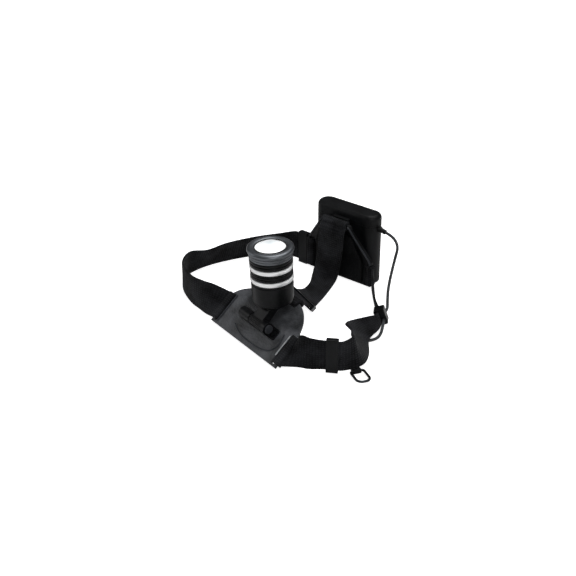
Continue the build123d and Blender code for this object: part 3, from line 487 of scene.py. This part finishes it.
def turn_rows(centre, long_dir, deep_dir, rise, long, deep):
    """Rows of one turn of band round a bar, as a rounded rectangle."""
    reach_long = long / 2 + BAR_PLAY + THICKNESS / 2
    reach_deep = deep / 2 + BAR_PLAY + THICKNESS / 2
    rows = []
    for quarter, (side_long, side_deep) in enumerate([(1, 1), (-1, 1), (-1, -1), (1, -1)]):
        middle = (centre + long_dir * side_long * (reach_long - TURN_CORNER)
                  + deep_dir * side_deep * (reach_deep - TURN_CORNER))
        for step in range(7):
            angle = quarter * 90 + step * 15
            point = middle + (long_dir * cosine(angle) + deep_dir * sine(angle)) * TURN_CORNER
            rows.append((*point, *rise))
    rows.append(rows[0])
    return rows


def make_band(name, node, lengths):
    """A band of several lengths, with its thickness and soft edges."""
    work = bmesh.new()
    work.loops.layers.uv.new("band")
    for rows in lengths:
        ribbon(work, rows)
    bmesh.ops.remove_doubles(work, verts=work.verts, dist=BAND_WELD)
    mesh = bpy.data.meshes.new(name)
    work.to_mesh(mesh)
    work.free()
    made = settle(name, mesh, ELASTIC, "set", [node], 60)
    wall = made.modifiers.new("thickness", "SOLIDIFY")
    wall.thickness = THICKNESS * MM
    wall.offset = 0
    wall.use_even_offset = False
    edge = made.modifiers.new("selvedge", "BEVEL")
    edge.width = 0.45 * MM
    edge.segments = 3
    edge.limit_method = "ANGLE"
    edge.angle_limit = math.radians(50)
    return made


PLATE_FOOT = 1.8
PLATE_BAND_MIDDLE = (15.1, -1.1)
UP_PLATE = forehead_vector(0, sine(PLATE_SLOPE), cosine(PLATE_SLOPE))
OUT_PLATE = forehead_vector(0, -cosine(PLATE_SLOPE), sine(PLATE_SLOPE))


def plate_place(right, along, lift):
    """A point over the sloping plate: along it from its foot, and lifted off its face."""
    return forehead_point(right, along * sine(PLATE_SLOPE) - lift * cosine(PLATE_SLOPE),
                          PLATE_FOOT + along * cosine(PLATE_SLOPE) + lift * sine(PLATE_SLOPE))


def plate_row(side):
    """Where a band leaves the plate's bar, on the right with side 1 and on the left with side -1."""
    return (*plate_place(side * 45.2, *PLATE_BAND_MIDDLE), *(UP_PLATE * BAND_WIDTH))


def plate_turn(side):
    """A band's turn round the plate's bar on that side."""
    return turn_rows(plate_place(side * 42.6, *PLATE_BAND_MIDDLE), forehead_vector(1, 0, 0), OUT_PLATE,
                     UP_PLATE * BAND_WIDTH, BAR_LONG, PLATE_WALL)


REAR_BAR_Y = -10.4
LEFT_BAR = Vector((-31.1, REAR_BAR_Y - 0.63, 15))
LEFT_BAR_DEEP = 3.67
RIGHT_BAR = Vector((31.1, REAR_BAR_Y, 11))
RIGHT_END_WIDTH = 17

# Rows of x, y, foot height, inward lean in degrees, and width
LEFT_ROUTE = [(-40, -128.5, 1.2, 25, 25), (-50, -129, 1, 8, 25), (-64, -126.5, 1, 0, 25),
              (-84, -115, 1, 0, 25), (-96.6, -96.9, 1, 12, 25), (-94.8, -78.6, 1, 30, 25),
              (-89.7, -58.1, 1, 27, 25),
              (-77.9, -34, 1, 24, 25), (-62.2, -15.9, 1, 16, 25), (-52, -11, 2, 4, 25),
              (-46.5, REAR_BAR_Y, 2.5, 0, 25), (-33.7, REAR_BAR_Y, 2.5, 0, 25)]
left_rows = leaning(LEFT_ROUTE, [len(LEFT_ROUTE) - 2])
make_band("left_band", "left_strap", [
    blend([plate_row(-1)] + left_rows, [len(left_rows) - 1], 10), plate_turn(-1),
    turn_rows(LEFT_BAR, Vector((1, 0, 0)), Vector((0, 1, 0)), Vector((0, 0, BAND_WIDTH)), BAR_LONG,
              LEFT_BAR_DEEP)])

RIGHT_ROUTE = [(33.7, REAR_BAR_Y, 2.5, 0, RIGHT_END_WIDTH), (38.5, -17.5, 2, 3, 15.5),
               (49, -29.8, 1.4, 6, 13), (60.5, -43, 1.8, 12, 11.5), (70.5, -51.5, 2.6, 20, 10),
               (76.5, -61, 2.6, 20, 10), (77.3, -69.5, 3.2, 50, 13.5), (76.3, -81.4, 4, 62, 19),
               (80.6, -94.8, 4, 49, 23.5), (91.4, -105.7, 3, 33, 25), (99, -117.6, 4.2, 25, 25),
               (100.9, -125.1, 4.6, 12, 24), (95.5, -134.2, 3, 0, 24), (84.5, -140.7, 3, 0, 24),
               (75, -144.5, 1.6, 4, 25), (66.5, -146.3, 1.5, 12, 25)]
right_rows = leaning(RIGHT_ROUTE, [4, 12])
make_band("right_band", "right_strap", [
    blend(right_rows + [plate_row(1)], [4, 12], 10), plate_turn(1),
    turn_rows(RIGHT_BAR, Vector((1, 0, 0)), Vector((0, 1, 0)), Vector((0, 0, RIGHT_END_WIDTH)), BAR_LONG,
              BAR_DEEP)])

TILT_UP = Vector((0, -sine(BRACKET_TILT), cosine(BRACKET_TILT)))
TILT_OUT = Vector((0, -cosine(BRACKET_TILT), -sine(BRACKET_TILT)))
FOLD_Y = -9.2
FOLD_Z = 24
BRACKET_RISE = 31
TOP_BAR = (Vector((0, FOLD_Y, FOLD_Z)) + TILT_UP * (BRACKET_RISE / cosine(BRACKET_TILT) - BAR_LONG / 2)
           + TILT_OUT * (BAR_DEEP / 2))
CROWN_IN = forehead_vector(0, sine(CROWN_SLOPE), cosine(CROWN_SLOPE))
CROWN_OUT = forehead_vector(0, -cosine(CROWN_SLOPE), sine(CROWN_SLOPE))
PLATE_FLAT = 26
BEND_RADIUS = 22
DOME_BAR_IN = 45.75
DOME_BAR_WIDTH = 3.5
bend_in = PLATE_FLAT * sine(PLATE_SLOPE) + BEND_RADIUS * (sine(90 - PLATE_SLOPE) - sine(90 - CROWN_SLOPE))
bend_up = (PLATE_FOOT + PLATE_FLAT * cosine(PLATE_SLOPE)
           + BEND_RADIUS * (cosine(90 - CROWN_SLOPE) - cosine(90 - PLATE_SLOPE)))
dome_in = DOME_BAR_IN - PLATE_WALL / 2 * cosine(CROWN_SLOPE)
dome_up = bend_up + (dome_in - bend_in) / math.tan(math.radians(CROWN_SLOPE))
DOME_BAR = forehead_point(0, dome_in, dome_up) - CROWN_OUT * (PLATE_WALL / 2)
DOME_LONG = (DOME_BAR_WIDTH + PLATE_WALL * cosine(CROWN_SLOPE)) / sine(CROWN_SLOPE)
DOME_WALL = DOME_BAR + CROWN_IN * (DOME_LONG / 2 + BAR_PLAY + THICKNESS / 2)

# Rows of a middle and a width vector
TOP_ROUTE = [(*(TOP_BAR + TILT_OUT * (BAR_DEEP / 2 + BAR_PLAY + THICKNESS / 2)), BAND_WIDTH, 0, 0),
             (0, -24.3, 46.5, 25, 0, 0), (-4, -20.5, 28, 25, 0, 0),
             (-8.5, -18, 10, 25, 0, 0), (-9, -20, 3.4, 25, 0, 0), (-6, -27, 1.6, 24.8, -2, 0),
             (2, -45, 1.6, 23.4, -8.8, 0), (8, -62, 4, 23, -9, -2), (14.5, -79, 11.5, 22.4, 0, -11.1),
             (20.5, -92, 22, 22.4, 0, -11.1), (*DOME_WALL, *(forehead_vector(1, 0, 0) * BAND_WIDTH))]
make_band("overhead_band", "top_strap", [
    blend(TOP_ROUTE, [8], 10),
    turn_rows(TOP_BAR, TILT_UP, TILT_OUT, Vector((BAND_WIDTH, 0, 0)), BAR_LONG, BAR_DEEP),
    turn_rows(DOME_BAR, CROWN_IN, CROWN_OUT, forehead_vector(1, 0, 0) * BAND_WIDTH, DOME_LONG,
              PLATE_WALL)])

# ---------------------------------------------------------------- lamp
spun("turned_tail", [(0.01, 0), (13.6, 0), (14.2, 0.15), (15.1, 0.7), (15.55, 1.4), (15.6, 3.9), (13.2, 3.9),
                     (13.2, 6.5), (0.01, 6.5)], ANODISED, "lamp", ["tail_cap"])
RING_STEP = 9.8
lower_ring = [(15.6, 19.6), (16.2, 19.6), (16.5, 19.75), (16.6, 20.05), (16.6, 22.65), (16.5, 22.95),
              (16.2, 23.1), (15.6, 23.1)]
spun("lower_bright_ring", lower_ring, SILVER, "lamp", ["accent_ring_lower"])
upper_ring = [(radius, height + RING_STEP) for radius, height in lower_ring]
spun("upper_bright_ring", upper_ring, SILVER, "zoom_head", ["accent_ring_upper"])


def grooved(low, high, outer, depth, pitch):
    """Points up a wall with shallow rounded grooves."""
    points = []
    count = max(1, round((high - low) / pitch))
    step = (high - low) / count
    for index in range(count):
        foot = low + index * step
        points += [(outer - depth, foot + 0.05 * step), (outer - depth, foot + 0.2 * step),
                   (outer - 0.1, foot + 0.28 * step), (outer, foot + 0.36 * step),
                   (outer, foot + 0.88 * step), (outer - 0.1, foot + 0.96 * step)]
    return points


spun("grooved_collar", [(13.35, 23.3), (15.6, 23.3)] + grooved(23.3, 29.2, 16.3, 0.5, 1.95)
     + [(15.6, 29.2), (13.35, 29.2)], ANODISED, "lamp", ["focus_collar"])
spun("grooved_sleeve", [(13.3, 29.5), (15.5, 29.5), (15.5, 33.1)] + grooved(33.1, 38.1, 16.6, 0.6, 2.5)
     + [(15.6, 38.1), (14.6, 38.1), (14.6, 43.1), (13.3, 43.1)], ANODISED, "zoom_head",
     ["focus_sleeve"])
spun("rolled_bezel", [(12.3, 45.75), (14.7, 45.75), (14.7, 38.2), (15.9, 38.2), (16.1, 38.5), (16.6, 38.7),
                      (16.85, 40.2), (16.5, 40.35), (16.5, 40.65), (16.95, 40.8), (17.4, 42.6),
                      (17.05, 42.75), (17.05, 43.05), (17.5, 43.2), (17.95, 44.4), (18.1, 44.9), (18.0, 45.4),
                      (17.65, 45.9),
                      (17.1, 46.4), (16.4, 46.75), (15.5, 46.9), (14.6, 46.85), (13.7, 46.7), (12.9, 46.4),
                      (12.35, 46.1)], WORN, "zoom_head", ["bezel_ring"])
LENS_CURVE = 15.95
dome = arc((0, LAMP_HEIGHT - LENS_CURVE), LENS_CURVE, 43.6, 89.9, 16)
spun("domed_lens", [(0.01, 44.6), (14.4, 44.6), (14.4, 45.6), (11.55, 45.6)] + dome[1:], LENS_PAINTED_GLOW, "zoom_head",
     ["front_lens"])

# A dark rubber ring in the gap between the lens and the bezel's lip: a dark piece standing in for the shade
# in that gap
spun("painted_shade_ring", [(11.75, 45.7), (12.25, 45.7), (12.25, 46.5), (11.95, 46.7), (11.75, 46.5)], RUBBER,
     "zoom_head")


# ---------------------------------------------------------------- beads: painted highlights on the bracket's rims and the slot bars, a clip tongue and the plate's raised edge
def bead(name, points, radius, material):
    """A rounded bead along a smooth line, on the set."""
    made = round_line(name, points, radius, material, 10, 3)
    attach(made, "set")


def bracket_point(x, rise):
    """A point on the front of the rear bracket's tilted half, just proud of it."""
    depth = 2.8
    return (x, FOLD_Y - depth * cosine(BRACKET_TILT) - rise * sine(BRACKET_TILT),
            FOLD_Z + rise * cosine(BRACKET_TILT) - depth * sine(BRACKET_TILT))


# Pale beads along the front of the rear bracket: a painted highlight on the bracket's rim, not piping
bead("bracket_rim_highlight_right", [bracket_point(13.8, 31.2), bracket_point(15.6, 31), bracket_point(16, 28),
                              bracket_point(23.5, 13.7), bracket_point(31, -0.4), (31.2, -12, 22),
                              (31.2, -12, 20.6)], 0.8, PALE_ACETAL_AND_HIGHLIGHT)
bead("bracket_rim_highlight_left", [bracket_point(-13.8, 31.2), bracket_point(-15.6, 31), bracket_point(-16, 28),
                             bracket_point(-23.5, 18), bracket_point(-31, 7.6)], 0.7, PALE_ACETAL_AND_HIGHLIGHT)
# A steel rod and a pale bead beside the plate's slots: painted highlights on the slot bars
bead("slot_bar_highlight_right", [plate_place(36.9, along, 0.2) for along in (8, 13, 18, 23, 26)], 0.6, STEEL)
bead("slot_bar_highlight_left", [plate_place(-37.2, along, 0.3) for along in (2, 9, 16, 23, 28)], 0.7, PALE_ACETAL_AND_HIGHLIGHT)
bead("clip_tongue", [(69.6, -49.8, 6.4), (70.6, -51.7, 7.6), (71.6, -53.3, 8.6), (72.2, -54.2, 9)], 1.3,
     PALE_ACETAL_AND_HIGHLIGHT)
bead("hinge_rim", [plate_place(-19, 9, 0.2), plate_place(-10, 4.8, 0.2), plate_place(4, 4.2, 0.2),
                   plate_place(20, 4.6, 0.2), plate_place(30, 8, 0.2), plate_place(33.5, 16, 0.2),
                   plate_place(31, 24, 0.2)], 0.7, PALE_ACETAL_AND_HIGHLIGHT)

# ---------------------------------------------------------------- what stays from the frame
for name, material in (("inner_barrel", ANODISED), ("heat_sink", BARE), ("driver_board", BOARD),
                       ("led_board", BOARD), ("led_emitter", PHOSPHOR), ("barrel_seal", RUBBER),
                       ("lens_gasket", RUBBER), ("switch_module", ACETAL), ("cell_1", SLEEVE),
                       ("cell_2", SLEEVE), ("cell_3", SLEEVE), ("cell_4", SLEEVE),
                       ("contact_springs", STEEL), ("contact_plates", STEEL), ("lid_contacts", STEEL),
                       ("lid_seal", RUBBER), ("lid_hinge_pin", STEEL), ("latch_pin", STEEL),
                       ("bracket_screws", DARK_STEEL), ("arm_screws", DARK_STEEL),
                       ("base_screws", DARK_STEEL)):
    nodes[name].data.materials.clear()
    nodes[name].data.materials.append(material)

rounded("battery_case", ABS, "set", 0.35)
rounded("battery_lid", ABS, "lid", 0.35)
rounded("lid_latch", ABS, "latch", 0.4)
rounded("rear_bracket", ABS, "set", 0.4)
rounded("hinge_base", ACETAL, "set", 0.25)
rounded("hinge_pin", PALE_ACETAL_AND_HIGHLIGHT, "set", 0.4)
rounded("tilt_arm", ACETAL, "lamp", 0.25)
rounded("lamp_housing", ANODISED, "lamp", 0.15)
rounded("switch_button", RUBBER, "button", 0.3)
rounded("left_slider", ACETAL, "set", 0.4)
rounded("right_slider", ACETAL, "set", 0.4)
rounded("top_slider", ACETAL, "set", 0.4)
rounded("strap_clip", ACETAL, "set", 0.4)
rounded("ring_tab", ELASTIC, "set", 0.4)
rounded("lanyard_ring", DARK_STEEL, "ring", 0.01, 1)
rounded("lead_grommet", RUBBER, "set", 0.4)
rounded("lead_boot", RUBBER, "set", 0.3)
rounded("front_plate", PLATE_SKIN, "set", 0.5)


SKIN_STEP = 1.1
AIR_FORCE = 4
BLOWING_STEPS = 20


def plump(node, slack, reach):
    """A foam pad: its skin, drawn in by `slack`, is blown out like a cushion by no more than `reach` mm."""
    scene = bpy.context.scene
    work = bmesh.new()
    work.from_mesh(nodes[node].data)
    bmesh.ops.remove_doubles(work, verts=work.verts, dist=WELD)
    mesh = bpy.data.meshes.new(node + "_skin")
    work.to_mesh(mesh)
    work.free()
    pad = bpy.data.objects.new(node + "_skin", mesh)
    scene.collection.objects.link(pad)
    remesh = pad.modifiers.new("remesh", "REMESH")
    remesh.mode = "VOXEL"
    remesh.voxel_size = SKIN_STEP * MM
    start = bpy.data.meshes.new_from_object(pad.evaluated_get(bpy.context.evaluated_depsgraph_get()))
    pad.modifiers.clear()
    pad.data = start
    normals = [vert.normal.copy() for vert in start.vertices]
    for vert, normal in zip(start.vertices, normals):
        vert.co -= normal * slack * MM
    before = [vert.co.copy() for vert in start.vertices]
    after = before
    cloth = pad.modifiers.new("cloth", "CLOTH")
    cloth.settings.use_pressure = True
    cloth.settings.uniform_pressure_force = AIR_FORCE
    cloth.settings.effector_weights.gravity = 0
    for step in range(1, BLOWING_STEPS + 1):
        scene.frame_set(step)
    blown = pad.evaluated_get(bpy.context.evaluated_depsgraph_get())
    after = [vert.co.copy() for vert in blown.data.vertices]
    scene.frame_set(1)
    pad.modifiers.clear()
    work = bmesh.new()
    work.from_mesh(start)
    work.verts.ensure_lookup_table()
    for vert, old, new in zip(work.verts, before, after):
        move = new - old
        if move.length > reach * MM:
            move.length = reach * MM
        vert.co = old + move
    bmesh.ops.smooth_vert(work, verts=work.verts, factor=0.5, use_axis_x=True, use_axis_y=True,
                          use_axis_z=True)
    bpy.data.objects.remove(pad)
    made = piece(node + "_finished", work, PAD_SKIN, "set", [node], 80)
    made.modifiers.new("smooth", "SUBSURF").levels = 1
    made.modifiers["smooth"].render_levels = 1


plump("forehead_pad", 0.5, 0.6)
plump("rear_pad", 0.5, 0.6)


# ---------------------------------------------------------------- floor and light
PAPER_GLOW = 0.85
ROOM_FILL = 0.09


def lay_floor():
    work = bmesh.new()
    bmesh.ops.create_grid(work, x_segments=1, y_segments=1, size=3)
    mesh = bpy.data.meshes.new("floor")
    work.to_mesh(mesh)
    work.free()
    floor = bpy.data.objects.new("floor", mesh)
    floor.location = (0, 0, -0.0002)
    material, tree, shader = finish("floor_paper", "#f4f4f4", 0.95, Specular_IOR_Level=0.0)
    shader.inputs["Emission Color"].default_value = (1, 1, 1, 1)
    seen = add(tree, "ShaderNodeLightPath")
    glow = add(tree, "ShaderNodeMath", {"operation": "MULTIPLY"})
    tree.links.new(seen.outputs["Is Camera Ray"], glow.inputs[0])
    glow.inputs[1].default_value = PAPER_GLOW
    tree.links.new(glow.outputs[0], shader.inputs["Emission Strength"])
    floor.data.materials.append(material)
    bpy.context.collection.objects.link(floor)


def hang_light(name, place, target, size, power):
    data = bpy.data.lights.new(name, "AREA")
    data.shape = "RECTANGLE"
    data.size, data.size_y = size
    data.energy = power
    light = bpy.data.objects.new(name, data)
    light.location = place
    light.rotation_euler = (Vector(target) - Vector(place)).to_track_quat("-Z", "Y").to_euler()
    bpy.context.collection.objects.link(light)


def fill_room():
    """White behind the set, and only a little light from it."""
    world = bpy.data.worlds.new("studio")
    world.use_nodes = True
    shine = world.node_tree.nodes["Background"]
    shine.inputs["Color"].default_value = (1, 1, 1, 1)
    seen = add(world.node_tree, "ShaderNodeLightPath")
    level = add(world.node_tree, "ShaderNodeMapRange", {"To Min": ROOM_FILL, "To Max": 1.0},
                Value=seen.outputs["Is Camera Ray"])
    world.node_tree.links.new(level.outputs["Result"], shine.inputs["Strength"])
    bpy.context.scene.world = world


lay_floor()
hang_light("overhead_softbox", (0.1, 0.1, 1.0), (0, -0.08, 0), (0.9, 0.9), 8)
hang_light("front_softbox", (0.9, -0.7, 0.6), (0, -0.08, 0.02), (0.7, 0.5), 4)
hang_light("left_softbox", (-0.9, -0.6, 0.5), (0, -0.08, 0.02), (0.6, 0.6), 2)
fill_room()
bpy.context.scene.view_settings.view_transform = "Standard"
